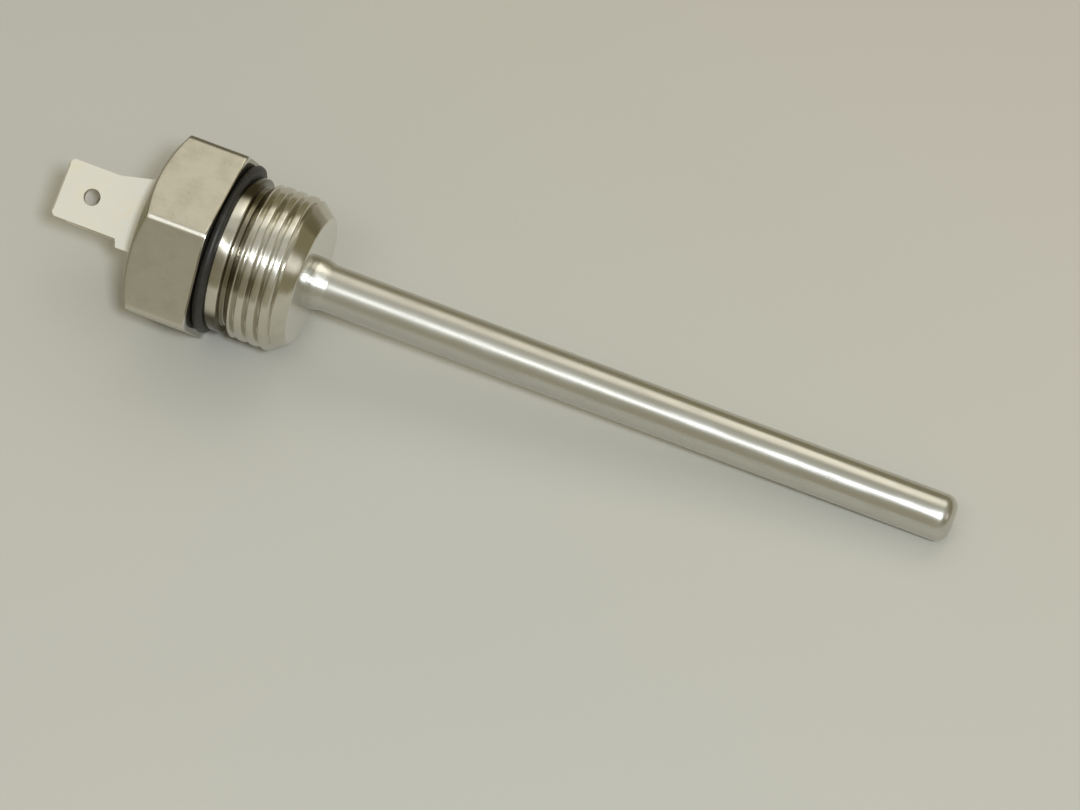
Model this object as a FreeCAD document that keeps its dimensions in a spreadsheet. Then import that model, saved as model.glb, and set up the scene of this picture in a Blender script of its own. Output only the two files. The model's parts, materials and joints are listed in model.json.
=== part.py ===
import FreeCAD, Part
import math
import os
import re

import Sketcher

# Screw-in temperature sensor with a long steel probe and two push-on blades.
# Every piece is drawn about the X axis: x is 0 on the face of the hexagon that
# carries the sealing ring, and +X points to the tip of the probe.
# The finished sensor is then laid down the way it comes to rest.

# Driving dimensions in millimetres and degrees
SIZES = {
    "hex_across_flats": 19.0,
    "hex_length": 7.5,
    "hex_chamfer_circle": 18.0,
    "hex_chamfer_angle": 30.0,
    "seat_neck_diameter": 15.3,
    "ring_diameter": 18.1,
    "ring_thickness": 0.95,
    "thread_diameter": 16.662,
    "collar_length": 1.3,
    "relief_width": 0.65,
    "relief_depth": 0.856,
    "thread_length": 4.9,
    "shank_chamfer_length": 1.9,
    "shank_end_diameter": 13.7,
    "pocket_diameter": 14.0,
    "pocket_depth": 5.0,
    "pocket_rim_chamfer": 0.3,
    "chamber_diameter": 10.0,
    "chamber_depth": 5.5,
    "tube_diameter": 5.0,
    "tube_wall": 0.4,
    "tube_seat_depth": 5.2,
    "tube_seat_gap": 0.03,
    "tip_edge_radius": 1.45,
    "insertion_length": 80.0,
    "braze_height": 0.35,
    "braze_length": 1.45,
    "braze_taper": 1.25,
    "carrier_thickness": 2.0,
    "carrier_gap": 0.05,
    "blade_width": 6.3,
    "blade_thickness": 0.8,
    "blade_length": 7.4,
    "blade_lead_in": 0.5,
    "blade_bevel_length": 0.5,
    "blade_bevel_depth": 0.25,
    "blade_hole_diameter": 1.8,
    "blade_hole_setback": 3.6,
    "blade_spacing": 6.0,
    "blade_roll": 30.0,
    "shoulder_width": 8.0,
    "shoulder_stand_off": 3.0,
    "shoulder_slope": 1.8,
    "shoulder_step": 0.35,
    "tail_width": 3.0,
    "tail_reach": 1.5,
    "resin_recess": 0.5,
    "wire_diameter": 0.5,
    "wire_spacing": 1.3,
    "wire_overlap": 1.3,
    "wire_straight": 0.5,
    "sleeve_wall": 0.25,
    "sleeve_setback": 0.4,
    "sleeve_strip": 1.0,
    "liner_gap": 0.2,
    "liner_wall": 0.3,
    "liner_setback": 1.5,
    "bead_diameter": 2.8,
    "bead_length": 4.0,
    "bead_cone": 0.4,
    "bead_setback": 3.0,
    "filler_length": 9.0,
}

# Places along the axis and radii, worked out from the driving dimensions
PLACES = {
    "collar_end": "ring_thickness + collar_length",
    "thread_start": "collar_end + relief_width",
    "thread_end": "thread_start + thread_length",
    "shank_end": "thread_end + shank_chamfer_length",
    "thread_radius": "thread_diameter / 2",
    "neck_radius": "seat_neck_diameter / 2",
    "ring_middle": "ring_diameter / 2 - ring_thickness / 2",
    "hex_corner": "hex_across_flats / sqrt(3)",
    "chamfer_radius": "hex_chamfer_circle / 2",
    "chamfer_rim": "hex_across_flats",
    "chamfer_reach": "(chamfer_rim - chamfer_radius) * tan(hex_chamfer_angle * 1 deg)",
    "pocket_radius": "pocket_diameter / 2",
    "pocket_floor": "pocket_depth - hex_length",
    "carrier_top": "pocket_floor - carrier_thickness",
    "carrier_radius": "pocket_radius - carrier_gap",
    "resin_top": "resin_recess - hex_length",
    "chamber_radius": "chamber_diameter / 2",
    "chamber_end": "pocket_floor + chamber_depth",
    "tube_radius": "tube_diameter / 2",
    "tube_bore": "tube_radius - tube_wall",
    "tube_start": "shank_end - tube_seat_depth",
    "tube_floor": "insertion_length - tube_wall",
    "seat_radius": "tube_radius + tube_seat_gap",
    "braze_radius": "tube_radius + braze_height",
    "braze_shoulder": "shank_end + braze_length",
    "braze_end": "braze_shoulder + braze_taper",
    "blade_low": "blade_spacing / 2 - blade_thickness / 2",
    "shoulder_start": "-hex_length - shoulder_stand_off",
    "blade_end": "shoulder_start - blade_length",
    "blade_half": "blade_width / 2",
    "shoulder_half": "shoulder_width / 2",
    "tail_half": "tail_width / 2",
    "tail_end": "pocket_floor + tail_reach",
    "wire_radius": "wire_diameter / 2",
    "wire_high": "blade_low - wire_radius",
    "wire_low": "wire_spacing / 2",
    "wire_start": "tail_end - wire_overlap",
    "wire_bend": "tail_end + wire_straight",
    "sleeve_radius": "wire_radius + sleeve_wall",
    "sleeve_start": "chamber_end + sleeve_setback",
    "sleeve_end": "filler_start - sleeve_strip",
    "liner_radius": "tube_bore - liner_gap",
    "liner_bore": "liner_radius - liner_wall",
    "liner_end": "filler_start - liner_setback",
    "bead_radius": "bead_diameter / 2",
    "bead_end": "tube_floor - bead_setback",
    "bead_start": "bead_end - bead_length",
    "filler_start": "tube_floor - filler_length",
    "bore_cone": "tip_edge_radius - tube_wall",
}

# Distance within which an edge counts as lying at a named place
NEAR = 1e-4

doc = FreeCAD.newDocument("temperature_sensor")
sheet = doc.addObject("Spreadsheet::Sheet", "Sizes")
for row, (alias, value) in enumerate(SIZES.items(), start=1):
    sheet.set("A%d" % row, alias)
    sheet.set("B%d" % row, str(value))
    sheet.setAlias("B%d" % row, alias)
doc.recompute()


def bound(text):
    """Write an expression on named places as one on the sheet's cells."""
    def replace(match):
        word = match.group(0)
        if word in PLACES:
            return "(" + bound(PLACES[word]) + ")"
        if word in SIZES:
            return "Sizes." + word
        return word
    return re.sub(r"[A-Za-z_]+", replace, text)


def number(text):
    """The present value of an expression on named places."""
    return float(sheet.evalExpression(bound(text)))


def new_body(label):
    body = doc.addObject("PartDesign::Body", label)
    body.Label = label
    return body


def new_sketch(body, name, role, offset="0"):
    """A sketch on one of the body's own origin planes, moved along its normal."""
    plane = next(item for item in body.Origin.OriginFeatures if item.Role == role)
    sketch = body.newObject("Sketcher::SketchObject", name)
    sketch.AttachmentSupport = [(plane, "")]
    sketch.MapMode = "FlatFace"
    sketch.setExpression("AttachmentOffset.Base.z", bound(offset))
    return sketch


def hold_point(sketch, kind, line, end, text):
    """Hold one end or centre of a line at a named distance from the sketch's origin."""
    held = sketch.addConstraint(Sketcher.Constraint(kind, -1, 1, line, end, number(text)))
    sketch.setExpression("Constraints[%d]" % held, bound(text))


def pin_point(sketch, line, end, across, up):
    """Hold one end or centre of a line in both directions."""
    hold_point(sketch, "DistanceX", line, end, across)
    hold_point(sketch, "DistanceY", line, end, up)


def draw_lines(sketch, points, closed=True):
    """Draw straight lines through points that are given as expressions."""
    places = [FreeCAD.Vector(number(across), number(up), 0) for across, up in points]
    ends = places[1:] + places[:1] if closed else places[1:]
    lines = [sketch.addGeometry(Part.LineSegment(a, b)) for a, b in zip(places, ends)]
    for line, following in zip(lines, lines[1:]):
        sketch.addConstraint(Sketcher.Constraint("Coincident", line, 2, following, 1))
    for line, (across, up) in zip(lines, points):
        pin_point(sketch, line, 1, across, up)
    if closed:
        sketch.addConstraint(Sketcher.Constraint("Coincident", lines[-1], 2, lines[0], 1))
    else:
        pin_point(sketch, lines[-1], 2, *points[-1])
    return lines


def draw_circle(sketch, across, up, radius):
    """Draw a circle whose centre and radius are given as expressions."""
    centre = FreeCAD.Vector(number(across), number(up), 0)
    circle = Part.Circle(centre, FreeCAD.Vector(0, 0, 1), number(radius))
    ring = sketch.addGeometry(circle)
    pin_point(sketch, ring, 3, across, up)
    held = sketch.addConstraint(Sketcher.Constraint("Radius", ring, number(radius)))
    sketch.setExpression("Constraints[%d]" % held, bound(radius))


def rectangle(low_across, low_up, high_across, high_up):
    return [
        (low_across, low_up),
        (high_across, low_up),
        (high_across, high_up),
        (low_across, high_up),
    ]


def spin(body, name, sketch, kind="Revolution"):
    """Spin a sketch a full turn round the X axis, to add or to take away."""
    feature = body.newObject("PartDesign::" + kind, name)
    feature.Profile = sketch
    feature.ReferenceAxis = (sketch, ["H_Axis"])
    feature.Angle = 360
    doc.recompute()
    return feature


def turn(body, name, points, kind="Revolution"):
    """Turn a profile of (x, radius) points round the X axis, or turn it away."""
    sketch = new_sketch(body, name + "_profile", "XZ_Plane")
    draw_lines(sketch, points)
    return spin(body, name, sketch, kind)


def raise_sketch(body, name, sketch, length, kind="Pad", reverse=False):
    """Pad or pocket a sketch by a named length."""
    feature = body.newObject("PartDesign::" + kind, name)
    feature.Profile = sketch
    feature.setExpression("Length", bound(length))
    feature.Reversed = reverse
    doc.recompute()


def cut_away(body, name, sketch, length, reverse=False):
    """Pocket a sketch and make sure that it took material away."""
    before = body.Shape.Volume
    raise_sketch(body, name, sketch, length, "Pocket", reverse)
    if body.Shape.Volume >= before:
        raise RuntimeError(name + " cuts nothing")


def round_edge(body, name, base, x, radius_at, size):
    """Round the circular edge that lies at x and has the given radius."""
    def is_edge(edge):
        curve = edge.Curve
        if not isinstance(curve, Part.Circle):
            return False
        return abs(curve.Center.x - number(x)) < NEAR and abs(curve.Radius - number(radius_at)) < NEAR
    edges = [index for index, edge in enumerate(base.Shape.Edges, start=1) if is_edge(edge)]
    fillet = body.newObject("PartDesign::Fillet", name)
    fillet.Base = (base, ["Edge%d" % index for index in edges])
    fillet.setExpression("Radius", bound(size))
    doc.recompute()


def make_hex_fitting():
    """Hexagon head, seat neck, collar, threaded shank and stepped bore in one turned piece."""
    body = new_body("hex_fitting")
    hexagon = new_sketch(body, "hexagon", "YZ_Plane")
    draw_lines(hexagon, [
        ("hex_corner", "0"),
        ("hex_corner / 2", "hex_across_flats / 2"),
        ("-hex_corner / 2", "hex_across_flats / 2"),
        ("-hex_corner", "0"),
        ("-hex_corner / 2", "-hex_across_flats / 2"),
        ("hex_corner / 2", "-hex_across_flats / 2"),
    ])
    raise_sketch(body, "head", hexagon, "hex_length", reverse=True)
    turn(body, "shank", [
        ("-hex_length / 2", "0"),
        ("-hex_length / 2", "neck_radius"),
        ("ring_thickness", "neck_radius"),
        ("ring_thickness", "thread_radius"),
        ("collar_end", "thread_radius"),
        ("collar_end", "thread_radius - relief_depth"),
        ("thread_start", "thread_radius - relief_depth"),
        ("thread_start", "thread_radius"),
        ("thread_end", "thread_radius"),
        ("shank_end", "shank_end_diameter / 2"),
        ("shank_end", "0"),
    ])
    turn(body, "head_chamfer", [
        ("-hex_length", "chamfer_radius"),
        ("-hex_length", "chamfer_rim"),
        ("chamfer_reach - hex_length", "chamfer_rim"),
    ], "Groove")
    turn(body, "bore", [
        ("-hex_length", "0"),
        ("-hex_length", "pocket_radius + pocket_rim_chamfer"),
        ("pocket_rim_chamfer - hex_length", "pocket_radius"),
        ("pocket_floor", "pocket_radius"),
        ("pocket_floor", "chamber_radius"),
        ("chamber_end", "chamber_radius"),
        ("chamber_end", "tube_bore"),
        ("tube_start", "tube_bore"),
        ("tube_start", "seat_radius"),
        ("shank_end", "seat_radius"),
        ("shank_end", "0"),
    ], "Groove")
    return body


def make_sealing_ring():
    """Rubber ring that lies flat on the seat neck and on the head, with a round outer side."""
    body = new_body("sealing_ring")
    section = new_sketch(body, "ring_profile", "XZ_Plane")
    lines = draw_lines(section, [
        ("0", "ring_middle"),
        ("0", "neck_radius"),
        ("ring_thickness", "neck_radius"),
        ("ring_thickness", "ring_middle"),
    ], closed=False)
    middle = FreeCAD.Vector(number("ring_thickness / 2"), number("ring_middle"), 0)
    side = Part.Circle(middle, FreeCAD.Vector(0, 0, 1), number("ring_thickness / 2"))
    arc = section.addGeometry(Part.ArcOfCircle(side, 0, math.pi))
    section.addConstraint(Sketcher.Constraint("Coincident", arc, 1, lines[-1], 2))
    section.addConstraint(Sketcher.Constraint("Coincident", arc, 2, lines[0], 1))
    hold_point(section, "DistanceY", arc, 3, "ring_middle")
    spin(body, "ring", section)
    return body


def make_probe_tube():
    """Thin tube with a closed end, rounded outside and coned inside."""
    body = new_body("probe_tube")
    wall = turn(body, "tube", [
        ("tube_start", "tube_bore"),
        ("tube_start", "tube_radius"),
        ("insertion_length", "tube_radius"),
        ("insertion_length", "0"),
        ("tube_floor", "0"),
        ("tube_floor", "tube_bore - bore_cone"),
        ("tube_floor - bore_cone", "tube_bore"),
    ])
    round_edge(body, "tip_round", wall, "insertion_length", "tube_radius", "tip_edge_radius")
    return body


def make_braze_collar():
    """Ring of braze metal round the root of the tube, tapering on to it."""
    body = new_body("braze_collar")
    turn(body, "collar", [
        ("shank_end", "tube_radius"),
        ("shank_end", "braze_radius"),
        ("braze_shoulder", "braze_radius"),
        ("braze_end", "tube_radius"),
    ])
    return body


def blade_slots(sketch, half_width):
    """Two slots, one for each blade, as wide as stated and as thick as a blade."""
    for side in ("", "-"):
        low = side + "blade_low"
        high = side + "(blade_low + blade_thickness)"
        draw_lines(sketch, rectangle("-" + half_width, low, half_width, high))


def make_terminal_carrier():
    """Insulating disc on the pocket's floor, slotted for the blades' tails."""
    body = new_body("terminal_carrier")
    turn(body, "disc", rectangle("carrier_top", "0", "pocket_floor", "carrier_radius"))
    slots = new_sketch(body, "tail_slots", "YZ_Plane", "carrier_top")
    blade_slots(slots, "tail_half")
    cut_away(body, "slots", slots, "carrier_thickness", reverse=True)
    return body


def make_potting_resin():
    """Resin over the carrier, cast round the blades' shoulders."""
    body = new_body("potting_resin")
    turn(body, "fill", rectangle("resin_top", "0", "carrier_top", "pocket_radius"))
    slots = new_sketch(body, "shoulder_slots", "YZ_Plane", "resin_top")
    blade_slots(slots, "shoulder_half")
    cut_away(body, "slots", slots, "carrier_top - resin_top", reverse=True)
    return body


def make_terminal_blade(label):
    """Stamped blade: bevelled tab with a hole, shoulder on the carrier, and a tail through it."""
    body = new_body(label)
    outline = new_sketch(body, "outline", "XY_Plane", "blade_low")
    draw_lines(outline, [
        ("blade_end", "-blade_half + blade_lead_in"),
        ("blade_end + blade_lead_in", "-blade_half"),
        ("shoulder_start", "-blade_half"),
        ("shoulder_start + shoulder_step", "-shoulder_half"),
        ("carrier_top", "-shoulder_half"),
        ("carrier_top", "-tail_half"),
        ("tail_end", "-tail_half"),
        ("tail_end", "tail_half"),
        ("carrier_top", "tail_half"),
        ("carrier_top", "shoulder_half"),
        ("shoulder_start + shoulder_slope", "shoulder_half"),
        ("shoulder_start - shoulder_slope", "blade_half"),
        ("blade_end + blade_lead_in", "blade_half"),
        ("blade_end", "blade_half - blade_lead_in"),
    ])
    raise_sketch(body, "stamping", outline, "blade_thickness")
    hole = new_sketch(body, "hole_circle", "XY_Plane", "blade_low")
    draw_circle(hole, "blade_end + blade_hole_setback", "0", "blade_hole_diameter / 2")
    cut_away(body, "hole", hole, "blade_thickness", reverse=True)
    bevels = new_sketch(body, "bevel_corners", "XZ_Plane", "-blade_half")
    for face, inward in (("blade_low", "+"), ("(blade_low + blade_thickness)", "-")):
        draw_lines(bevels, [
            ("blade_end", face),
            ("blade_end + blade_bevel_length", face),
            ("blade_end", face + inward + "blade_bevel_depth"),
        ])
    cut_away(body, "end_bevels", bevels, "blade_width", reverse=True)
    return body


def make_lead_wire(label):
    """Bare wire from the inner face of a blade's tail to the thermistor bead."""
    body = new_body(label)
    section = new_sketch(body, "wire_circle", "YZ_Plane", "wire_start")
    draw_circle(section, "0", "wire_high", "wire_radius")
    route = new_sketch(body, "wire_route", "XZ_Plane")
    draw_lines(route, [
        ("wire_start", "wire_high"),
        ("wire_bend", "wire_high"),
        ("chamber_end", "wire_low"),
        ("bead_start", "wire_low"),
    ], closed=False)
    pipe = body.newObject("PartDesign::AdditivePipe", "wire")
    pipe.Profile = section
    pipe.Spine = route
    pipe.Transition = "Right corner"
    doc.recompute()
    return body


def make_lead_sleeve(label):
    """Insulation on the straight stretch of a wire."""
    body = new_body(label)
    section = new_sketch(body, "sleeve_circles", "YZ_Plane", "sleeve_start")
    draw_circle(section, "0", "wire_low", "sleeve_radius")
    draw_circle(section, "0", "wire_low", "wire_radius")
    raise_sketch(body, "sleeve", section, "sleeve_end - sleeve_start")
    return body


def make_tube_liner():
    """Insulating sleeve between the wires and the tube."""
    body = new_body("tube_liner")
    turn(body, "liner", rectangle("tube_start", "liner_bore", "liner_end", "liner_radius"))
    return body


def bead_profile():
    """Outline of the bead, which the compound round it follows too."""
    return [
        ("bead_start", "0"),
        ("bead_start", "bead_radius - bead_cone"),
        ("bead_start + bead_cone", "bead_radius"),
        ("bead_end - bead_cone", "bead_radius"),
        ("bead_end", "bead_radius - bead_cone"),
        ("bead_end", "0"),
    ]


def make_thermistor_bead():
    """Coated sensing bead with coned ends."""
    body = new_body("thermistor_bead")
    turn(body, "bead", bead_profile())
    return body


def make_tip_filler():
    """Compound that fills the end of the tube round the bead and the bare wires."""
    body = new_body("tip_filler")
    turn(body, "fill", [
        ("filler_start", "0"),
        ("filler_start", "tube_bore"),
        ("tube_floor - bore_cone", "tube_bore"),
        ("tube_floor", "tube_bore - bore_cone"),
        ("tube_floor", "0"),
    ])
    turn(body, "bead_space", bead_profile(), "Groove")
    wires = new_sketch(body, "wire_circles", "YZ_Plane", "filler_start")
    for side in ("", "-"):
        draw_circle(wires, "0", side + "wire_low", "wire_radius")
    cut_away(body, "wire_spaces", wires, "bead_start - filler_start", reverse=True)
    return body


def lying_turn():
    """Rotation that lays the sensor on the edge of its hexagon and on its tip."""
    run = number("insertion_length - tip_edge_radius")
    drop = number("hex_across_flats / 2 - tube_radius + tip_edge_radius")
    lift = math.asin(number("tip_edge_radius") / math.hypot(run, drop))
    tilt = math.degrees(math.atan2(drop, run) - lift)
    return FreeCAD.Rotation(FreeCAD.Vector(0, 1, 0), tilt)


def lay_down(bodies, turns):
    """Give each body its place, with the origin under the middle of the whole sensor."""
    rest = FreeCAD.Placement(FreeCAD.Vector(), lying_turn())
    for body in bodies:
        roll = FreeCAD.Rotation(FreeCAD.Vector(1, 0, 0), turns.get(body.Label, 0))
        body.Placement = rest.multiply(FreeCAD.Placement(FreeCAD.Vector(), roll))
    doc.recompute()
    whole = Part.makeCompound([body.Shape for body in bodies])
    box = whole.optimalBoundingBox(False, False)
    shift = FreeCAD.Vector(-box.Center.x, -box.Center.y, -box.ZMin)
    for body in bodies:
        body.Placement = FreeCAD.Placement(shift, FreeCAD.Rotation()).multiply(body.Placement)
    doc.recompute()


def write_parts(bodies):
    """Check every object, then write one file for each body."""
    failed = [item.Name for item in doc.Objects if {"Invalid", "Error"} & set(item.State)]
    if failed:
        raise RuntimeError("failed objects: " + ", ".join(failed))
    for body in bodies:
        if body.Shape.isNull() or not body.Shape.isValid() or len(body.Shape.Solids) != 1:
            raise RuntimeError("no sound solid in " + body.Label)
    os.makedirs("parts", exist_ok=True)
    for body in bodies:
        body.Shape.exportStep("parts/" + body.Label + ".step")


def main():
    roll = number("blade_roll")
    bodies = [
        make_hex_fitting(),
        make_sealing_ring(),
        make_probe_tube(),
        make_braze_collar(),
        make_terminal_carrier(),
        make_potting_resin(),
        make_tube_liner(),
        make_thermistor_bead(),
        make_tip_filler(),
    ]
    turns = {label: roll for label in ("terminal_carrier", "potting_resin", "tip_filler")}
    for side, angle in (("front", roll), ("rear", roll + 180)):
        for make, piece in (
            (make_terminal_blade, "terminal_blade_"),
            (make_lead_wire, "lead_wire_"),
            (make_lead_sleeve, "lead_sleeve_"),
        ):
            bodies.append(make(piece + side))
            turns[piece + side] = angle
    lay_down(bodies, turns)
    write_parts(bodies)


main()
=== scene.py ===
import json
import math

import bmesh
import bpy
import numpy as np
from mathutils import Matrix, Vector, noise


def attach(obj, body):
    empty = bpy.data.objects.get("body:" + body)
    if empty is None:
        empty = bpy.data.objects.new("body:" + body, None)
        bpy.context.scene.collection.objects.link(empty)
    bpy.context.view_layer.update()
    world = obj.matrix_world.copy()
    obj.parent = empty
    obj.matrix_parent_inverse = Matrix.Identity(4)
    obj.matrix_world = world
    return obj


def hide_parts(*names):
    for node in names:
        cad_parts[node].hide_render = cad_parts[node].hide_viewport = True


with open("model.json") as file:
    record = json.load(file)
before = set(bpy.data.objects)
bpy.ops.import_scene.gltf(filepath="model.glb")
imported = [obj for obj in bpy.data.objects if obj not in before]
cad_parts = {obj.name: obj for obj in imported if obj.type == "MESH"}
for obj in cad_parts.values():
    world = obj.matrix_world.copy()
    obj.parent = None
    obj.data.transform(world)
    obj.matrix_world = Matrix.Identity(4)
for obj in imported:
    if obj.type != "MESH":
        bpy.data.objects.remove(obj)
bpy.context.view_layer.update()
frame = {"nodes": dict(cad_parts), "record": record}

bl_info = {
    "name": "Screw-in temperature sensor",
    "version": (1, 0, 0),
    "blender": (4, 5, 0),
    "location": "View3D > Sidebar > Sensor",
    "description": "Dresses the sensor's solids with a thread, rounded edges and finishes",
    "category": "Add Mesh",
}

MM = 0.001
BODY = "root"
SIXTH = math.radians(60.0)
CREASE = math.radians(32.0)
FILM_WIDTH = 36.0

# Steps round a full turn, and along the thread and a flat of the hexagon
RING_STEPS = 180
TUBE_STEPS = 96
RESIN_STEPS = 128
HOLE_STEPS = 40
THREAD_STEPS = 104
FLAT_STEPS = 29

# The sensor's own axis: x is 0 on the seat face of the hexagon and grows towards the tip
THREAD_MOUNT = next(mount for mount in frame["record"]["mounts"] if mount["name"] == "thread")
THREAD_MIDDLE = 5.35 * MM
ALONG = Vector(THREAD_MOUNT["axis"])
TILT = math.atan2(-ALONG.z, ALONG.x)
SEAT = Vector(THREAD_MOUNT["pos_m"]) - ALONG * THREAD_MIDDLE
LYING = Matrix.Translation(SEAT) @ Matrix.Rotation(TILT, 4, "Y")


def length(name, text, value):
    """A size in millimetres, kept in metres."""
    return bpy.props.FloatProperty(
        name=name, description=text, default=value * MM, unit="LENGTH", subtype="DISTANCE", precision=5)


def angle(name, text, value):
    """An angle in degrees, kept in radians."""
    return bpy.props.FloatProperty(
        name=name, description=text, default=math.radians(value), unit="ROTATION", subtype="ANGLE")


def amount(name, text, value):
    """A share between 0 and 1."""
    return bpy.props.FloatProperty(
        name=name, description=text, default=value, min=0.0, max=1.0, subtype="FACTOR")


def watts(name, text, value):
    """The power of a lamp."""
    return bpy.props.FloatProperty(name=name, description=text, default=value, min=0.0, unit="POWER")


def colour(name, text, value):
    """A linear colour without alpha."""
    return bpy.props.FloatVectorProperty(
        name=name, description=text, default=value, size=3, min=0.0, max=1.0, subtype="COLOR")


def group(kind, name, text):
    """A set of settings."""
    return bpy.props.PointerProperty(type=kind, name=name, description=text)


class FittingSizes(bpy.types.PropertyGroup):
    """Sizes of the hexagon fitting and of the ring on its seat."""
    across_flats: length("Across flats", "Width of the head over opposite flats", 19.0)
    head_length: length("Head length", "Length of the hexagon along the axis", 7.5)
    corner_flat: length("Corner flat", "Width of the narrow flat along each corner of the hexagon", 0.54)
    edge_round: length("Edge round", "Setback of the broken edges", 0.14)
    chamfer_radius: length("Chamfer radius", "Radius at which the rear chamfer starts", 9.0)
    chamfer_angle: angle("Chamfer angle", "Angle of the rear chamfer", 30.0)
    pocket_radius: length("Pocket radius", "Radius of the pocket behind the head", 7.0)
    pocket_depth: length("Pocket depth", "Depth of the pocket behind the head", 5.0)
    rim_chamfer: length("Rim chamfer", "Chamfer round the mouth of the pocket", 0.3)
    chamber_radius: length("Chamber radius", "Radius of the hollow under the pocket", 5.0)
    chamber_depth: length("Chamber depth", "Depth of the hollow under the pocket", 5.5)
    neck_radius: length("Neck radius", "Radius that the sealing ring sits on", 7.65)
    ring_radius: length("Ring radius", "Outside radius of the sealing ring", 9.05)
    ring_thickness: length("Ring thickness", "Thickness of the sealing ring along the axis", 0.95)
    ring_bulge: length("Ring bulge", "How far the ring is pressed out on its far side", 0.40)
    ring_bulge_place: angle("Ring bulge place", "Where round the axis the ring is pressed out", 38.0)
    collar_length: length("Collar length", "Plain collar in front of the ring", 1.3)
    collar_skew: length("Collar skew", "How far the collar's sides lean with the thread", 0.22)
    relief_width: length("Relief width", "Groove between collar and thread", 0.65)
    relief_depth: length("Relief depth", "Depth of the groove between collar and thread", 0.856)
    thread_radius: length("Thread radius", "Radius over the thread's crests", 8.331)
    thread_pitch: length("Thread pitch", "Distance from crest to crest", 1.337)
    thread_depth: length("Thread depth", "Depth of the grooves between the crests", 0.55)
    crest_width: length("Crest width", "Width of the level crests", 0.70)
    thread_length: length("Thread length", "Length of the thread", 4.9)
    thread_phase: length("Thread phase", "Place of a crest on the side where the angle is 0", 2.897)
    end_chamfer: length("End chamfer", "Length of the chamfer at the end of the shank", 1.9)
    end_radius: length("End radius", "Radius of the shank's end face", 6.85)
    socket_radius: length("Socket radius", "Bore that holds the tube", 2.53)
    socket_depth: length("Socket depth", "Depth of the bore that holds the tube", 5.2)
    wire_bore: length("Wire bore", "Bore behind the tube", 2.1)


class ProbeSizes(bpy.types.PropertyGroup):
    """Sizes of the tube and of the braze round its root."""
    tube_radius: length("Tube radius", "Outside radius of the tube", 2.5)
    tube_bore: length("Tube bore", "Inside radius of the tube", 2.1)
    tube_end: length("Tube end", "Distance from the seat to the tip", 80.0)
    tip_round: length("Tip round", "Radius round the closed end", 1.45)
    braze_height: length("Braze height", "How far the braze stands on the tube", 0.35)
    braze_length: length("Braze length", "Length of the full braze", 1.45)
    braze_taper: length("Braze taper", "Length over which the braze runs out", 1.25)


class BladeSizes(bpy.types.PropertyGroup):
    """Sizes of the two push-on blades and of the resin that holds them."""
    width: length("Width", "Width of the blade", 6.3)
    thickness: length("Thickness", "Thickness of the blade", 0.8)
    length: length("Length", "Length of the blade in front of its shoulder", 7.4)
    lead_in: length("Lead-in", "Cut corners at the end", 0.5)
    bevel: length("Bevel", "Depth of the bevel across the end", 0.25)
    edge_round: length("Edge round", "Rounding left by the stamping tool", 0.09)
    hole_radius: length("Hole radius", "Radius of the latch hole", 0.9)
    hole_setback: length("Hole setback", "Distance from the end to the hole's middle", 3.6)
    spacing: length("Spacing", "Distance between the two blades", 6.0)
    roll: angle("Roll", "How far the blades are turned round the axis", 30.0)
    shoulder_width: length("Shoulder width", "Width of the shoulder", 8.0)
    stand_off: length("Stand-off", "How far the shoulder stands out of the head", 3.0)
    slope: length("Slope", "Half the length of the sloped shoulder", 1.8)
    step: length("Step", "Length of the steep shoulder", 0.35)
    resin_recess: length("Resin recess", "How far the resin lies below the rim", 0.5)
    resin_depth: length("Resin depth", "Thickness of the resin", 2.5)
    meniscus: length("Meniscus", "How far the resin creeps up what it touches", 0.3)


class FinishColours(bpy.types.PropertyGroup):
    """Colours of the finishes, and of the painted shade and painted highlights laid on them."""
    nickel: colour("Nickel", "Plating on the fitting", (0.66, 0.63, 0.555))
    # bare_and_highlight: clean plating on the seat face, also laid on the end face, and the colour of the
    # painted highlights on the collar and thread
    bare_and_highlight: colour("Bare nickel", "Clean plating on the seat face", (0.82, 0.81, 0.77))
    # film_and_groove_shade: a dull film on the plating, also laid in the thread's grooves as painted
    # shade
    film_and_groove_shade: colour("Tarnish", "Dull film on the plating", (0.40, 0.375, 0.295))
    # painted_olive_shade: painted shade in the grooves, the relief and on the seat face by the ring, and
    # painted dark reflection on the lower near side and on top of the end chamfer
    painted_olive_shade: colour("Grime", "Residue in the thread's grooves", (0.17, 0.145, 0.09))
    # chamfer_olive: dark olive tint of the rear chamfer, laid more strongly on its lower side as painted
    # shade
    chamfer_olive: colour("Bare brass", "Chamfer that was turned after plating", (0.23, 0.20, 0.095))
    # painted_black_shade: painted shade on the collar and along the head's far corner
    painted_black_shade: colour("Residue", "Black smear that the seal leaves on the collar", (0.095, 0.085, 0.055))
    steel: colour("Steel", "Drawn tube", (0.63, 0.617, 0.572))
    braze: colour("Braze", "Flowed braze metal", (0.56, 0.55, 0.505))
    # braze_highlight: the colour of a painted highlight on top of the braze
    braze_highlight: colour("Fresh braze", "Clean patch on top of the braze", (0.95, 0.945, 0.90))
    tin: colour("Tin", "Plating on the blades", (0.82, 0.79, 0.715))
    rubber: colour("Rubber", "Sealing ring", (0.019, 0.018, 0.015))
    dust: colour("Dust", "Bloom on the rubber", (0.052, 0.049, 0.039))
    resin: colour("Resin", "Casting resin", (0.022, 0.021, 0.020))
    floor: colour("Floor", "Table top", (0.58, 0.560, 0.490))


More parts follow.
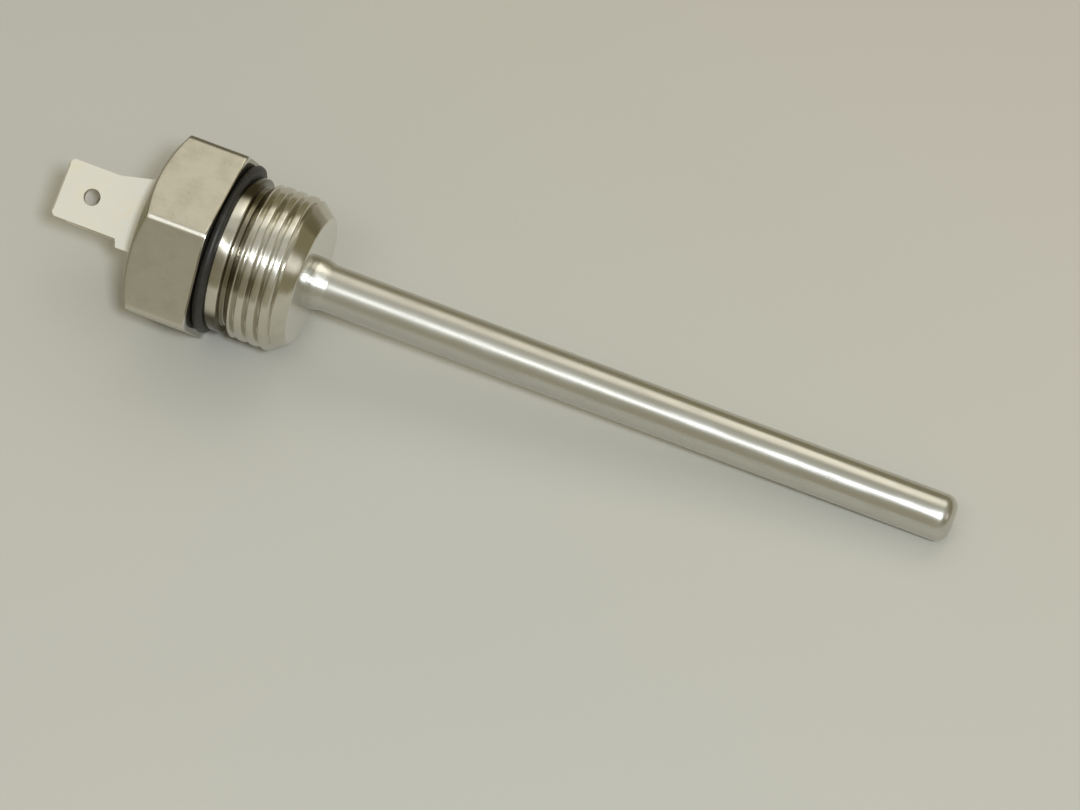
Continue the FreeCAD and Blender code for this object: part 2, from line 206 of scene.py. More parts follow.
class StageSettings(bpy.types.PropertyGroup):
    """Camera, lamps and surroundings."""
    azimuth: angle("Azimuth", "Direction of the camera round the object", 21.342)
    elevation: angle("Elevation", "Height of the camera over the horizon", 55.674)
    distance: length("Distance", "From the camera to the point that it aims at", 416.445)
    aim: bpy.props.FloatVectorProperty(
        name="Aim", description="Point in the middle of the picture",
        default=(5.521 * MM, -3.536 * MM, 5.0 * MM), size=3, unit="LENGTH", subtype="XYZ", precision=5)
    lens: bpy.props.FloatProperty(
        name="Lens", description="Focal length in millimetres", default=136.0, unit="CAMERA")
    flash_power: watts("Flash power", "Power of the small lamp beside the camera", 1.50)
    flash_colour: colour("Flash colour", "Colour of the small lamp", (0.84, 0.92, 1.0))
    flash_right: angle("Flash to the right", "How far the small lamp is to the camera's right", 6.5)
    flash_above: angle("Flash above", "How far the small lamp is above the camera", 1.5)
    flash_distance: length("Flash distance", "From the small lamp to the aim", 550.0)
    flash_side: length("Flash side", "Side of the small square lamp", 60.0)
    panel_power: watts("Panel power", "Power of the broad lamp over the near side", 0.225)
    panel_colour: colour("Panel colour", "Colour of the broad lamp", (0.94, 0.97, 1.0))
    panel_azimuth: angle("Panel azimuth", "Direction of the broad lamp round the object", -24.0)
    panel_tilt: angle("Panel tilt", "How far the broad lamp leans from straight above", 30.0)
    panel_distance: length("Panel distance", "From the broad lamp to the aim", 600.0)
    panel_width: length("Panel width", "Long side of the broad lamp", 280.0)
    panel_depth: length("Panel depth", "Short side of the broad lamp", 120.0)
    room_light: amount("Room light", "Brightness of the surroundings", 1.0)


class SensorSettings(bpy.types.PropertyGroup):
    """All settings of the sensor."""
    fitting: group(FittingSizes, "Fitting", "Fitting and seal")
    probe: group(ProbeSizes, "Probe", "Tube and braze")
    blades: group(BladeSizes, "Blades", "Blades and resin")
    colours: group(FinishColours, "Colours", "Finishes")
    stage: group(StageSettings, "Stage", "Camera and light")


class Value:
    """A shader socket that takes part in sums, each of which adds a Math node."""

    def __init__(self, finish, socket):
        self.finish = finish
        self.socket = socket

    def __add__(self, other):
        return self.finish.math("ADD", self, other)

    def __radd__(self, other):
        return self.finish.math("ADD", other, self)

    def __sub__(self, other):
        return self.finish.math("SUBTRACT", self, other)

    def __rsub__(self, other):
        return self.finish.math("SUBTRACT", other, self)

    def __mul__(self, other):
        return self.finish.math("MULTIPLY", self, other)

    def __rmul__(self, other):
        return self.finish.math("MULTIPLY", other, self)

    def __truediv__(self, other):
        return self.finish.math("DIVIDE", self, other)


class Finish:
    """The node tree of one material or of the world, built node by node."""

    def __init__(self, owner):
        self.owner = owner
        owner.use_nodes = True
        self.tree = owner.node_tree
        self.tree.nodes.clear()

    def node(self, kind, settings, inputs, output=0):
        """Add a node, set it up, fill or link its sockets and give one of its outputs."""
        node = self.tree.nodes.new("ShaderNode" + kind)
        for key, value in settings.items():
            setattr(node, key, value)
        for key, value in inputs.items():
            if isinstance(value, Value):
                self.tree.links.new(value.socket, node.inputs[key])
            else:
                node.inputs[key].default_value = value
        return Value(self, node.outputs[output]) if len(node.outputs) else None

    def math(self, operation, *operands):
        """One Math node on numbers and values."""
        return self.node("Math", {"operation": operation}, dict(enumerate(operands)))

    def hypot(self, first, second):
        """Length of two legs at right angles, taken together."""
        return self.math("SQRT", first * first + second * second)

    def step(self, value, low, high):
        """Rise smoothly from 0 to 1 between two limits."""
        return self.node("MapRange", {"interpolation_type": "SMOOTHSTEP"},
                         {"Value": value, "From Min": low, "From Max": high})

    def below(self, value, low, high):
        """Fall smoothly from 1 to 0 between two limits."""
        return 1 - self.step(value, low, high)

    def band(self, value, rise, fall):
        """Rise from 0 to 1 over one range and fall back to 0 over a later one."""
        return self.step(value, *rise) * self.below(value, *fall)

    def mix(self, share, first, second):
        """Blend two colours."""
        return self.node("Mix", {"data_type": "RGBA"},
                         {0: share, 6: as_colour(first), 7: as_colour(second)}, 2)

    def vector(self, x, y, z):
        """Three values as one vector."""
        return self.node("CombineXYZ", {}, {"X": x, "Y": y, "Z": z})

    def grain(self, where, scale, detail, rough):
        """Soft noise between 0 and 1."""
        return self.node("TexNoise", {}, {
            "Vector": where, "Scale": scale, "Detail": detail, "Roughness": rough})

    def streaks(self, parts, along, across, detail, rough):
        """Noise with one scale along the sensor's axis and another across it."""
        x, y, z = parts
        return self.grain(self.vector(x * along, y * across, z * across), 1.0, detail, rough)

    def axes(self, roll=0.0):
        """Place in millimetres along and across the sensor's own axis."""
        here = self.node("TexCoord", {}, {}, "Object")
        place = self.node("Mapping", {"vector_type": "TEXTURE"}, {
            "Vector": here, "Location": SEAT, "Rotation": (roll, TILT, 0.0), "Scale": (MM, MM, MM)})
        parts = [self.node("SeparateXYZ", {}, {"Vector": place}, name) for name in "XYZ"]
        return place, parts

    def bump(self, height, depth):
        """A normal that follows a height; the depth is in metres."""
        return self.node("Bump", {}, {"Height": height, "Strength": 1.0, "Distance": depth})

    def surface(self, **inputs):
        """The closing shader, with its sockets named in words joined by underscores."""
        named = {key.replace("_", " "): value for key, value in inputs.items()}
        shader = self.node("BsdfPrincipled", {}, named)
        self.node("OutputMaterial", {}, {"Surface": shader})
        return self.owner


def as_colour(shade):
    """Add alpha to a plain colour; leave links alone."""
    return shade if isinstance(shade, Value) else (*shade[:3], 1.0)


def tinted(shade, *factors):
    """A plain colour times one factor, or times one factor for each channel."""
    return np.multiply(shade, factors).tolist()


def new_finish(name):
    """The empty node tree of a new material."""
    return Finish(bpy.data.materials.new(name))


def shank_places(sizes):
    """Places on the axis of the collar's end, the thread's start, its end, and the shank's end."""
    collar_end = sizes.ring_thickness + sizes.collar_length
    thread_start = collar_end + sizes.relief_width
    thread_end = thread_start + sizes.thread_length
    return collar_end, thread_start, thread_end, thread_end + sizes.end_chamfer


def corner_radius(sizes):
    """Distance from the axis to the narrow flats along the hexagon's corners."""
    sharp = sizes.across_flats / 2 / math.cos(SIXTH / 2)
    return sharp - sizes.corner_flat / 2 * math.tan(SIXTH / 2)


class FittingPlaces:
    """Where a point lies on the fitting, as masks; lengths are in millimetres."""

    def __init__(self, f, sizes):
        self.f = f
        self.place, self.parts = f.axes()
        self.x, self.y, self.z = self.parts
        self.radius = f.hypot(self.y, self.z)
        self.below_crest = sizes.thread_radius / MM - self.radius
        self.corner = corner_radius(sizes) / MM
        self.collar = sizes.ring_thickness / MM
        places = [place / MM for place in shank_places(sizes)]
        self.collar_end, self.thread_start, self.thread_end, self.shank_end = places
        outside = sizes.ring_radius / MM
        self.head = f.step(self.radius, outside, outside + 0.30) * f.below(self.x, -0.25, -0.05)
        self.seat = f.band(self.x, (-0.06, -0.01), (0.05, 0.15))
        self.thread = f.band(self.x, (self.collar_end - 0.25, self.collar_end + 0.10),
                             (self.thread_end - 0.20, self.thread_end + 0.60))
        # How deep a point lies in the thread's grooves; the finish paints shade with it
        self.groove = f.step(self.below_crest, 0.16, 0.70) * self.thread

    def side(self, turn, low, high):
        """Rise towards one angle round the axis, in degrees; the limits are cosines."""
        way = math.radians(turn)
        cosine = (self.y * math.cos(way) + self.z * math.sin(way)) / self.radius
        return self.f.step(cosine, low, high)


def shank_layers(at, colours):
    """Painted shade and painted highlights on the collar, the thread and the shank's end, and the lighter
    end face.
    """
    f = at.f
    collar = (at.collar - 0.05, at.collar + 0.25)
    # Painted shade: a darker band along the lower near side of the collar and thread
    dark_band_shade = at.side(139.0, 0.966, 0.992) * f.band(
        at.x, collar, (at.thread_end - 2.80, at.thread_end - 0.30))
    # Painted highlight: a bright band near the top of the collar and thread
    warm_highlight = at.side(98.5, 0.978, 0.995) * f.band(
        at.x, collar, (at.thread_end - 0.20, at.thread_end + 0.40))
    # Painted highlight along the thread's lit side
    lit_side = at.side(116.0, 0.920, 0.978) * at.thread
    # Painted shade: the collar darkens all round except on the side turned towards angle 129
    darkened = (1 - at.side(129.0, 0.60, 0.76)) * f.band(
        at.x, (at.collar - 0.55, at.collar - 0.25), (at.collar_end + 0.15, at.collar_end + 0.45))
    # Painted shade in the relief groove
    relief = f.step(at.below_crest, 0.12, 0.40) * f.band(
        at.x, (at.collar_end - 0.25, at.collar_end), (at.thread_start - 0.05, at.thread_start + 0.20))
    end_face = f.step(at.x, at.shank_end - 0.10, at.shank_end - 0.02)
    # Painted shade: the top of the end chamfer darkens
    top_chamfer_shade = at.side(70.0, 0.955, 0.985) * (1 - end_face) * f.step(
        at.x, at.thread_end + 0.10, at.thread_end + 0.50)
    return [
        # Painted shade in the thread's grooves
        (at.groove * 0.14, colours.painted_olive_shade),
        (dark_band_shade * 0.40, colours.painted_olive_shade),
        (warm_highlight * 0.90, colours.bare_and_highlight),
        (lit_side * 0.70, colours.bare_and_highlight),
        (darkened, colours.painted_black_shade),
        (relief * 0.80, colours.painted_olive_shade),
        (end_face * 0.90, colours.bare_and_highlight),
        (top_chamfer_shade * 0.45, colours.painted_olive_shade),
    ]


def head_layers(at, colours, sizes):
    """Bright seat, painted reflection of the ring round it, dark olive rear chamfer with painted shade on
    its lower side, and painted shade along the head's far corner.
    """
    f = at.f
    # Painted reflection: the seat face between the ring and the hexagon's edge darkens as if it mirrored
    # the black ring
    ring_mirror_shade = f.band(at.x, (-0.24, -0.12), (0.10, 0.20)) * f.below(
        at.radius, at.corner - 0.814, at.corner - 0.314)
    slant = math.tan(sizes.chamfer_angle)
    behind = (at.radius - sizes.chamfer_radius / MM) * slant - (at.x + sizes.head_length / MM)
    chamfer = f.step(behind, -0.08, 0.02)
    # Painted shade: more of the olive tint on the chamfer's lower side
    lower_side_shade = at.side(160.0, 0.45, 0.85)
    # Painted shade along the head's far corner
    far_corner_shade = at.side(60.0, 0.9990, 0.9996) * (1 - chamfer) * f.step(
        at.radius, at.corner - 0.514, at.corner - 0.264)
    return [
        (at.seat, colours.bare_and_highlight),
        (ring_mirror_shade * 0.75, colours.painted_olive_shade),
        (chamfer * (0.40 + lower_side_shade * 0.50), colours.chamfer_olive),
        (far_corner_shade * 0.60, colours.painted_black_shade),
    ]


def plated_nickel(colours, sizes):
    """Satin nickel: turning rings, drawn lines on the flats, dull patches, painted shade in the thread,
    and the painted shade and highlights laid by the shank's and head's layers.
    """
    f = new_finish("satin_nickel")
    at = FittingPlaces(f, sizes)
    head = at.head
    rings = f.grain(f.vector(at.x * 9.0, at.radius * 9.0, at.y * 0.02), 1.0, 4.0, 0.7)
    drawn = f.streaks(at.parts, 0.35, 7.0, 4.0, 0.65)
    marks = drawn * head + rings * (1 - head)
    patches = f.step(f.grain(at.place, 0.42, 5.0, 0.62), 0.42, 0.68)
    specks = f.step(f.grain(at.place, 2.6, 3.0, 0.6), 0.60, 0.74)
    rubbed = f.step(at.radius, at.corner - 0.114, at.corner - 0.024)
    film = patches * 0.20 + specks * 0.24 * head + drawn * 0.22 * head + head * 0.10
    # The grooves' share of the dull film is painted shade
    dull = film * (1 - rubbed) + at.groove * 0.12
    metal = f.mix(dull, colours.nickel, colours.film_and_groove_shade)
    for share, shade in shank_layers(at, colours) + head_layers(at, colours, sizes):
        metal = f.mix(share, metal, shade)
    rough = 0.13 + 0.16 * head + dull * 0.20 + marks * 0.08 - at.seat * 0.10
    return f.surface(
        Base_Color=metal, Metallic=1.0, Roughness=rough,
        Normal=f.bump(marks * (0.6 + head), 0.006 * MM))


def drawn_steel(colours, tip):
    """Bright drawn tube: fine lines along it, faint smears, smoother ahead and dull at its tip."""
    f = new_finish("drawn_steel")
    _, parts = f.axes()
    x = parts[0]
    lines = f.streaks(parts, 0.10, 6.0, 4.0, 0.7)
    smears = f.step(f.streaks(parts, 0.16, 0.8, 4.0, 0.6), 0.42, 0.72)
    rubbed = f.step(x, tip - 2.8, tip - 0.4)
    smoother = f.step(x, tip - 68.0, tip - 14.0)
    metal = f.mix(smears * 0.5 + lines * 0.25, colours.steel, tinted(colours.steel, 0.86))
    rough = 0.26 + lines * 0.10 + smears * 0.08 + rubbed * 0.06 - smoother * 0.09
    return f.surface(Base_Color=metal, Metallic=1.0, Roughness=rough, Normal=f.bump(lines, 0.0018 * MM))


def flowed_braze(colours, start):
    """Bright braze metal that set in soft lumps, with darker random patches and a painted highlight on
    top.
    """
    f = new_finish("flowed_braze")
    place, (x, y, z) = f.axes()
    ending = f.step(x, start + 0.8, start + 2.4)
    lumps = f.grain(place, 1.1, 3.0, 0.5)
    darkened = f.step(f.grain(place, 0.9, 4.0, 0.6), 0.48, 0.72)
    # Painted highlight: a bright patch on the top side of the braze
    top_highlight = f.step(z / f.hypot(y, z), 0.90, 0.97) * f.band(
        x, (start + 0.3, start + 0.6), (start + 1.5, start + 2.0))
    metal = f.mix(darkened * 0.40, colours.braze, tinted(colours.braze, 0.72, 0.66, 0.52))
    metal = f.mix(ending, metal, colours.steel)
    metal = f.mix(top_highlight, metal, colours.braze_highlight)
    return f.surface(
        Base_Color=metal, Metallic=1.0, Roughness=0.29 + lumps * 0.08,
        Normal=f.bump(lumps * (1 - ending), 0.05 * MM))


def tinned_brass(colours, sizes, hole):
    """Matt tin on a stamped blade: grain, drag lines, warm worn spots, and painted shade on the inner
    faces round the hole.
    """
    f = new_finish("matt_tin")
    place, parts = f.axes(sizes.roll)
    x, y, z = parts
    even = f.grain(place, 7.0, 3.0, 0.6)
    drag = f.streaks(parts, 0.5, 5.0, 3.0, 0.6)
    worn = f.step(f.grain(place, 0.55, 4.0, 0.6), 0.50, 0.72)
    inner = f.below(f.math("ABSOLUTE", z) - sizes.spacing / 2 / MM, -0.15, 0.05)
    # Painted shade on the inner faces round the hole
    painted_shade = f.below(f.hypot(x - hole, y), 1.7, 2.6) * inner
    metal = f.mix(worn * 0.6, colours.tin, tinted(colours.tin, 0.97, 0.92, 0.78))
    metal = f.mix(painted_shade, metal, tinted(colours.tin, 0.74))
    rough = 0.65 + even * 0.10 + drag * 0.06 - worn * 0.05
    return f.surface(
        Base_Color=metal, Metallic=1.0, Roughness=rough,
        Normal=f.bump(even * 0.6 + drag * 0.4, 0.006 * MM))


def seal_rubber(colours):
    """Black rubber with a faint grey bloom and fine moulding grain."""
    f = new_finish("black_rubber")
    place, _ = f.axes()
    fine = f.grain(place, 9.0, 3.0, 0.6)
    bloom = f.step(f.grain(place, 0.8, 5.0, 0.65), 0.45, 0.75)
    shade = f.mix(bloom * 0.55, colours.rubber, colours.dust)
    return f.surface(
        Base_Color=shade, Roughness=0.46 + bloom * 0.18, Normal=f.bump(fine, 0.010 * MM))


def casting_resin(colours):
    """Dark resin with a soft gloss, small pinholes and cloudy patches."""
    f = new_finish("casting_resin")
    place, _ = f.axes()
    cloud = f.grain(place, 0.35, 4.0, 0.6)
    pits = f.node("TexVoronoi", {}, {"Vector": place, "Scale": 0.9}, "Distance")
    pinholes = f.below(pits, 0.05, 0.13)
    shade = f.mix(f.step(cloud, 0.4, 0.7), colours.resin, tinted(colours.resin, 2.2))
    return f.surface(
        Base_Color=shade, Roughness=0.24 + cloud * 0.22,
        Normal=f.bump(cloud * 0.5 - pinholes, 0.06 * MM))


def plain_insulation(name, shade, rough):
    """Moulded or extruded insulation with a faint cloudiness."""
    f = new_finish(name)
    place, _ = f.axes()
    cloud = f.grain(place, 1.4, 4.0, 0.6)
    return f.surface(
        Base_Color=f.mix(cloud, shade, tinted(shade, 0.8)), Roughness=rough + cloud * 0.12,
        Normal=f.bump(cloud, 0.01 * MM))


def tinned_wire():
    """Tinned copper wire with lines from the drawing die."""
    f = new_finish("tinned_wire")
    _, parts = f.axes()
    lines = f.streaks(parts, 0.3, 12.0, 3.0, 0.6)
    bright = (0.78, 0.77, 0.74)
    dull = (0.60, 0.57, 0.50)
    return f.surface(
        Base_Color=f.mix(lines, bright, dull), Metallic=1.0, Roughness=0.28 + lines * 0.12)


def rounded(corners):
    """Replace inner corners (x, radius, setback, steps) of a section by short curves of rows."""
    points = [np.stack(np.broadcast_arrays(np.float64(x), np.float64(r)), -1) for x, r, _, _ in corners]
    rows = []
    for i, (_, _, setback, steps) in enumerate(corners):
        here = points[i]
        if steps == 0:
            rows.append(here)
            continue
        back = points[i - 1] - here
        ahead = points[i + 1] - here
        near = [way / np.linalg.norm(way, axis=-1, keepdims=True) * setback for way in (back, ahead)]
        for share in np.linspace(0.0, 1.0, steps + 1):
            rows.append(here + near[0] * (1 - share) ** 2 + near[1] * share ** 2)
    return rows


def spin(name, rows, angles, closed=False):
    """Turn section rows round the sensor's axis into one mesh, capped or joined at its ends."""
    count = len(angles)
    grid = np.stack([np.broadcast_to(row, (count, 2)) for row in rows])
    spots = np.stack([
        grid[..., 0],
        grid[..., 1] * np.cos(angles),
        grid[..., 1] * np.sin(angles)], -1).reshape(-1, 3)
    faces = []
    loops = len(rows) if closed else len(rows) - 1
    for i in range(loops):
        low = i * count
        high = (i + 1) % len(rows) * count
        for j in range(count):
            k = (j + 1) % count
            faces.append((low + j, low + k, high + k, high + j))
    if not closed:
        faces.append(tuple(range(count - 1, -1, -1)))
        last = (len(rows) - 1) * count
        faces.append(tuple(range(last, last + count)))
    mesh = bpy.data.meshes.new(name)
    mesh.from_pydata(spots.tolist(), [], faces)
    mesh.shade_smooth()
    return mesh


def lay_piece(name, mesh, finish, node, roll=0.0):
    """Lay a mesh where its solid lies, smooth it, and let it stand for that solid."""
    mesh.transform(LYING @ Matrix.Rotation(roll, 4, "X"))
    tidy = bmesh.new()
    tidy.from_mesh(mesh)
    bmesh.ops.recalc_face_normals(tidy, faces=tidy.faces)
    tidy.to_mesh(mesh)
    tidy.free()
    curved = [face.use_smooth for face in mesh.polygons]
    mesh.set_sharp_from_angle(angle=CREASE)
    mesh.polygons.foreach_set("use_smooth", curved)
    mesh.materials.append(finish)
    piece = bpy.data.objects.new(name, mesh)
    bpy.context.scene.collection.objects.link(piece)
    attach(piece, BODY)
    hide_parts(node)


def even_angles(count):
    """Angles of a full turn in equal steps."""
    return np.linspace(0.0, 2 * math.pi, count, endpoint=False)


def ripple(angles, spread, level):
    """Soft noise round the axis that meets itself after a full turn."""
    return np.array([
        noise.noise(Vector((math.cos(a) * spread, math.sin(a) * spread, level))) for a in angles])


def soft_least(first, second, ease):
    """The lesser of two lengths, eased where they cross."""
    return (first + second) / 2 - np.sqrt(((first - second) / 2) ** 2 + ease ** 2)


def soft_most(first, second, ease):
    """The greater of two lengths, eased where they cross."""
    return (first + second) / 2 + np.sqrt(((first - second) / 2) ** 2 + ease ** 2)


def hexagon_angles(sizes):
    """Angles round the fitting, close together at the narrow flats along the hexagon's corners."""
    narrow = math.atan2(sizes.corner_flat / 2, sizes.across_flats / 2 / math.cos(SIXTH / 2))
    wide = narrow * 1.5
    beside = narrow * np.array([-1.5, -1.25, -1.08, -0.92, -0.75, -0.4, 0.4, 0.75, 0.92, 1.08, 1.25])
    sector = np.concatenate([beside, np.linspace(wide, SIXTH - wide, FLAT_STEPS)[:-1]])
    return np.concatenate([sector + SIXTH * i for i in range(6)])


def hexagon_radius(angles, sizes):
    """Distance from the axis to the hexagon; one of its corners, cut to narrow eased flats, is at 0."""
    off = (angles + SIXTH / 2) % SIXTH - SIXTH / 2
    flat = sizes.across_flats / 2 / np.cos(SIXTH / 2 - np.abs(off))
    corner = corner_radius(sizes) / np.cos(off)
    return soft_least(flat, corner, 0.035 * MM)


def collar_lean(angles, sizes):
    """How far the collar's sides stand forward at each angle, because they lean with the thread."""
    upright = math.radians(120.0)
    return sizes.collar_skew * np.sin(angles - upright)


def thread_drop(along, sizes):
    """Depth below the crest of a cut pipe thread: level crests, 55 degree flanks and rounded roots."""
    pitch = sizes.thread_pitch
    depth = sizes.thread_depth
    ease = 0.05 * MM
    steep = 1 / math.tan(math.radians(27.5))
    off = np.abs((along + pitch / 2) % pitch - pitch / 2)
    from_crest = soft_most((off - sizes.crest_width / 2) * steep, 0.0, ease)
    return depth - soft_most(depth - from_crest, 0.0, ease)


def thread_rows(sizes, angles, start, stop):
    """Rows of the threaded shank: a helix, cut back by the relief groove and the end chamfer."""
    crest = sizes.thread_radius
    fall = (crest - sizes.end_radius) / sizes.end_chamfer
    rise = 1.1
    ease = 0.03 * MM
    threaded_share = 0.65
    root = crest - sizes.relief_depth
    last = stop + sizes.end_chamfer * threaded_share
    rows = []
    for share in np.linspace(0.0, 1.0, THREAD_STEPS):
        x = start + (last - start) * share
        turned = x - sizes.thread_pitch * angles / (2 * math.pi) - sizes.thread_phase
        radius = crest - thread_drop(turned, sizes)
        radius = soft_least(radius, root + (x - start) * rise, ease)
        radius = soft_least(radius, crest - (x - stop) * fall, ease)
        rows.append(np.stack([x, radius], -1))
    return rows


def fitting_rows(sizes, angles):
    """The fitting's whole section: pocket, head, neck, collar, thread, end face and bores."""
    edge = sizes.edge_round
    crest = sizes.thread_radius
    root = crest - sizes.relief_depth
    collar_end, thread_start, thread_end, shank_end = shank_places(sizes)
    hexagon = hexagon_radius(angles, sizes)
    lean = collar_lean(angles, sizes)
    rear = -sizes.head_length
    chamfered = rear + (hexagon - sizes.chamfer_radius) * math.tan(sizes.chamfer_angle)
    floor = rear + sizes.pocket_depth
    chamber = floor + sizes.chamber_depth
    socket = shank_end - sizes.socket_depth
    plain_share = 0.3
    flats = [(chamfered * (1 - share), hexagon, 0.0, 0) for share in (0.06, 0.2, 0.4, 0.6, 0.8, 0.94)]
    behind = rounded([
        (floor, sizes.pocket_radius, 0.0, 0),
        (rear + sizes.rim_chamfer, sizes.pocket_radius, edge / 2, 2),
        (rear, sizes.pocket_radius + sizes.rim_chamfer, edge / 2, 2),
        (rear, sizes.chamfer_radius, edge, 3),
        (chamfered, hexagon, edge, 3),
        *flats,
        (0.0, hexagon, edge, 3),
        (0.0, sizes.neck_radius, 0.0, 0),
        (sizes.ring_thickness + lean, sizes.neck_radius, 0.0, 0),
        (sizes.ring_thickness + lean, crest, edge, 3),
        (collar_end + lean, crest, edge, 3),
        (collar_end + lean + edge / 2, root, edge, 3),
        (thread_start + lean - edge, root, 0.0, 0),
    ])
    thread = thread_rows(sizes, angles, thread_start + lean - edge / 2, thread_end)
    ahead = rounded([
        (shank_end - sizes.end_chamfer * plain_share,
         sizes.end_radius + (crest - sizes.end_radius) * plain_share, 0.0, 0),
        (shank_end, sizes.end_radius, edge * 1.5, 4),
        (shank_end, sizes.socket_radius, 0.0, 0),
        (socket, sizes.socket_radius, 0.0, 0),
        (socket, sizes.wire_bore, 0.0, 0),
        (chamber, sizes.wire_bore, 0.0, 0),
        (chamber, sizes.chamber_radius, 0.0, 0),
        (floor, sizes.chamber_radius, 0.0, 0),
    ])
    return behind + thread + ahead


class SENSOR_OT_fitting(bpy.types.Operator):
    """Hexagon head with eased corners, seat neck, collar, helical thread and bores."""
    bl_idname = "sensor.fitting"
    bl_label = "Hexagon fitting"

    def execute(self, context):
        sizes = context.scene.sensor.fitting
        angles = hexagon_angles(sizes)
        mesh = spin("hex_fitting", fitting_rows(sizes, angles), angles, closed=True)
        finish = plated_nickel(context.scene.sensor.colours, sizes)
        lay_piece("threaded_hexagon", mesh, finish, "hex_fitting")
        return {"FINISHED"}


def ring_rows(sizes, angles):
    """The sealing ring's section: flat against the neck, round outside, pressed out on its far side."""
    half = sizes.ring_thickness / 2
    middle = sizes.ring_radius - half
    inset = 0.05 * MM
    waviness = 0.02 * MM
    lip = half * 0.2
    outward = 0.8
    parting_height = 0.03 * MM
    parting_width = 0.06
    bulge_width = math.radians(30.0)
    pressed = np.exp(-((angles - sizes.ring_bulge_place) / bulge_width) ** 2) * sizes.ring_bulge
    squeeze = 1 + (collar_lean(angles, sizes) + pressed) / sizes.ring_thickness
    wave = ripple(angles, 2.0, 0.0)
    rows = rounded([
        (half * 1.6, sizes.neck_radius, 0.0, 0),
        (0.0, sizes.neck_radius, lip, 3),
        (0.0, middle, 0.0, 0),
    ])
    for turn in np.linspace(math.pi, 0.0, 25)[1:-1]:
        parting = parting_height * math.exp(-((turn - math.pi / 2) / parting_width) ** 2)
        out = half * math.sin(turn) - inset + parting + wave * waviness + pressed * outward
        rows.append(np.stack([np.full_like(angles, half + half * math.cos(turn)), middle + out], -1))
    rows += rounded([
        (sizes.ring_thickness, middle, 0.0, 0),
        (sizes.ring_thickness, sizes.neck_radius, lip, 3),
        (half * 1.7, sizes.neck_radius, 0.0, 0),
    ])
    return [np.stack(np.broadcast_arrays(row[..., 0] * squeeze, row[..., 1]), -1) for row in rows]


class SENSOR_OT_seal(bpy.types.Operator):
    """Rubber ring on the seat neck, with a round outer side and a faint parting line."""
    bl_idname = "sensor.seal"
    bl_label = "Sealing ring"

    def execute(self, context):
        angles = even_angles(RING_STEPS)
        rows = ring_rows(context.scene.sensor.fitting, angles)
        mesh = spin("sealing_ring", rows, angles, closed=True)
        finish = seal_rubber(context.scene.sensor.colours)
        lay_piece("rubber_seal", mesh, finish, "sealing_ring")
        return {"FINISHED"}


class SENSOR_OT_tube(bpy.types.Operator):
    """Long thin tube with a closed, rounded end."""
    bl_idname = "sensor.tube"
    bl_label = "Probe tube"

    def execute(self, context):
        fitting = context.scene.sensor.fitting
        sizes = context.scene.sensor.probe
        start = shank_places(fitting)[-1] - fitting.socket_depth
        outside = sizes.tube_radius
        tip = sizes.tube_end
        wall = outside - sizes.tube_bore
        inner_round = sizes.tip_round - wall
        rows = [(start, sizes.tube_bore), (start, outside)]
        rows += [(x, outside) for x in np.linspace(start, tip - sizes.tip_round, 40)[1:]]
        for turn in np.linspace(0.0, math.pi / 2, 14)[1:]:
            rows.append((tip - sizes.tip_round * (1 - math.sin(turn)),
                         outside - sizes.tip_round * (1 - math.cos(turn))))
        rows += [(tip, outside * share) for share in (0.3, 0.1, 0.01)]
        rows += [(tip - wall, outside * share) for share in (0.01, 0.3)]
        rows += [(tip - wall, sizes.tube_bore - inner_round),
                 (tip - wall - inner_round, sizes.tube_bore)]
        angles = even_angles(TUBE_STEPS)
        mesh = spin("probe_tube", [np.array(row) for row in rows], angles, closed=True)
        finish = drawn_steel(context.scene.sensor.colours, tip / MM)
        lay_piece("drawn_tube", mesh, finish, "probe_tube")
        return {"FINISHED"}


def braze_rows(sizes, angles, start):
    """The braze's section: full at its foot, lumpy, running out unevenly along the tube."""
    first = start - 0.1 * MM
    buried = 0.03 * MM
    sunk = 0.02 * MM
    full = sizes.braze_length + sizes.braze_taper
    reach = 0.5 + 0.5 * ripple(angles, 1.1, 7.0)
    full_share = 0.30
    rows = [np.array([first, sizes.tube_radius - buried])]
    for share in np.linspace(0.0, 1.0, 26):
        lump = ripple(angles, 1.3, share * 2.5)
        ebb = max(share - full_share, 0.0) / (1 - full_share)
        bulge = 1 - ebb * ebb * (3 - 2 * ebb)
        foot = math.exp(-share * 9.0)
        swell = sizes.braze_height * bulge * (0.86 + 0.14 * foot + 0.10 * lump)
        radius = np.minimum(swell, sizes.braze_height) + sizes.tube_radius - sunk
        rows.append(np.stack([first + full * (0.80 + 0.20 * reach) * share, radius], -1))
    return rows


class SENSOR_OT_braze(bpy.types.Operator):
    """Braze metal round the tube's root, uneven as it flowed."""
    bl_idname = "sensor.braze"
    bl_label = "Braze collar"

    def execute(self, context):
        angles = even_angles(TUBE_STEPS)
        start = shank_places(context.scene.sensor.fitting)[-1]
        rows = braze_rows(context.scene.sensor.probe, angles, start)
        mesh = spin("braze_collar", rows, angles, closed=True)
        finish = flowed_braze(context.scene.sensor.colours, start / MM)
        lay_piece("braze_fillet", mesh, finish, "braze_collar")
        return {"FINISHED"}


def blade_outline(sizes, shoulder, carrier):
    """Corners of the blade seen from its flat side, as (x, across) pairs."""
    half = sizes.width / 2
    wide = sizes.shoulder_width / 2
    end = shoulder - sizes.length
    return [
        (end, -half + sizes.lead_in),
        (end + sizes.lead_in, -half),
        (shoulder, -half),
        (shoulder + sizes.step, -wide),
        (carrier, -wide),
        (carrier, wide),
        (shoulder + sizes.slope, wide),
        (shoulder - sizes.slope, half),
        (end + sizes.lead_in, half),
        (end, half - sizes.lead_in),
    ]


def sharp_edges(shape, least):
    """Edges of a mesh at which its faces turn by more than an angle in degrees."""
    return [edge for edge in shape.edges if edge.calc_face_angle(0.0) > math.radians(least)]


